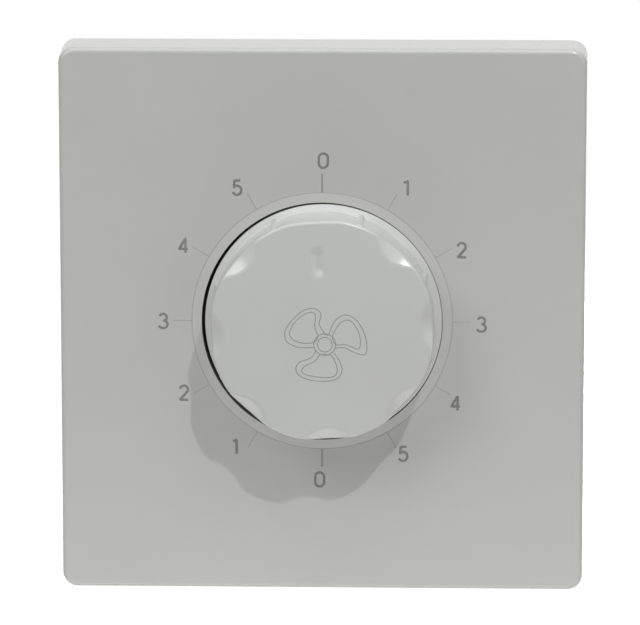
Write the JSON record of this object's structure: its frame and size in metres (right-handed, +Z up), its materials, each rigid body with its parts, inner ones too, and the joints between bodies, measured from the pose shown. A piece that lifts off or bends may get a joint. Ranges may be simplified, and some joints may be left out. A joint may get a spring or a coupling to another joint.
{
  "type": "fan speed control switch",
  "caption": "Square-cornered wall plate with a large round scalloped knob that turns a stepped fan speed switch in an insulating case behind it.",
  "frame": {"origin": "on the wall plane, midway between the two fixing slots and on the knob's axis", "axes": "+X to the right, +Z up, and -Y out of the wall towards the user"},
  "size_m": [0.086, 0.053, 0.09],
  "materials": {
    "block_grey": "fine grained moulding",
    "board_green": "lacquered glass epoxy board",
    "bush_brass": "turned brass",
    "cap_yellow": "smooth filled plastic box",
    "case_black": "fine grained black moulding",
    "clamp_steel": "zinc plated steel",
    "contact_brass": "stamped brass",
    "frame_grey": "fine grained grey moulding",
    "knob_white": "smooth glossy white moulding",
    "nut_plated": "nickel plated",
    "plate_white": "smooth glossy white moulding",
    "resistor_blue": "lacquered film resistor",
    "rotor_cream": "moulded nylon",
    "screw_steel": "zinc plated steel",
    "shaft_metal": "turned aluminium",
    "spring_steel": "blued spring steel",
    "switch_brown": "moulded phenolic resin"
  },
  "bodies": {
    "switch_body": {"bleed_resistors": "resistor_blue", "bushing": "bush_brass", "bushing_nut": "nut_plated", "circuit_board": "board_green", "common_contact": "contact_brass", "detent_spring": "spring_steel", "fixed_contacts": "contact_brass", "frame_screws": "screw_steel", "front_plate": "plate_white", "housing_cover": "case_black", "housing_screws": "screw_steel", "large_capacitor": "cap_yellow", "lock_washer": "nut_plated", "mounting_frame": "frame_grey", "rear_housing": "case_black", "small_capacitor": "cap_yellow", "switch_base": "switch_brown", "switch_housing": "switch_brown", "switch_rivets": "bush_brass", "terminal_block": "block_grey", "terminal_clamps": "clamp_steel", "terminal_screws": "screw_steel"},
    "turning_knob": {"knob": "knob_white", "knob_clip": "spring_steel", "shaft": "shaft_metal", "rotor": "rotor_cream", "moving_contact": "contact_brass", "retaining_clip": "spring_steel"}
  },
  "joints": [
    {"name": "knob_turn", "type": "hinge", "parent": "switch_body", "child": "turning_knob", "pos_m": [0, -0.015, 0], "axis": [0, 1, 0], "continuous": true}
  ]
}
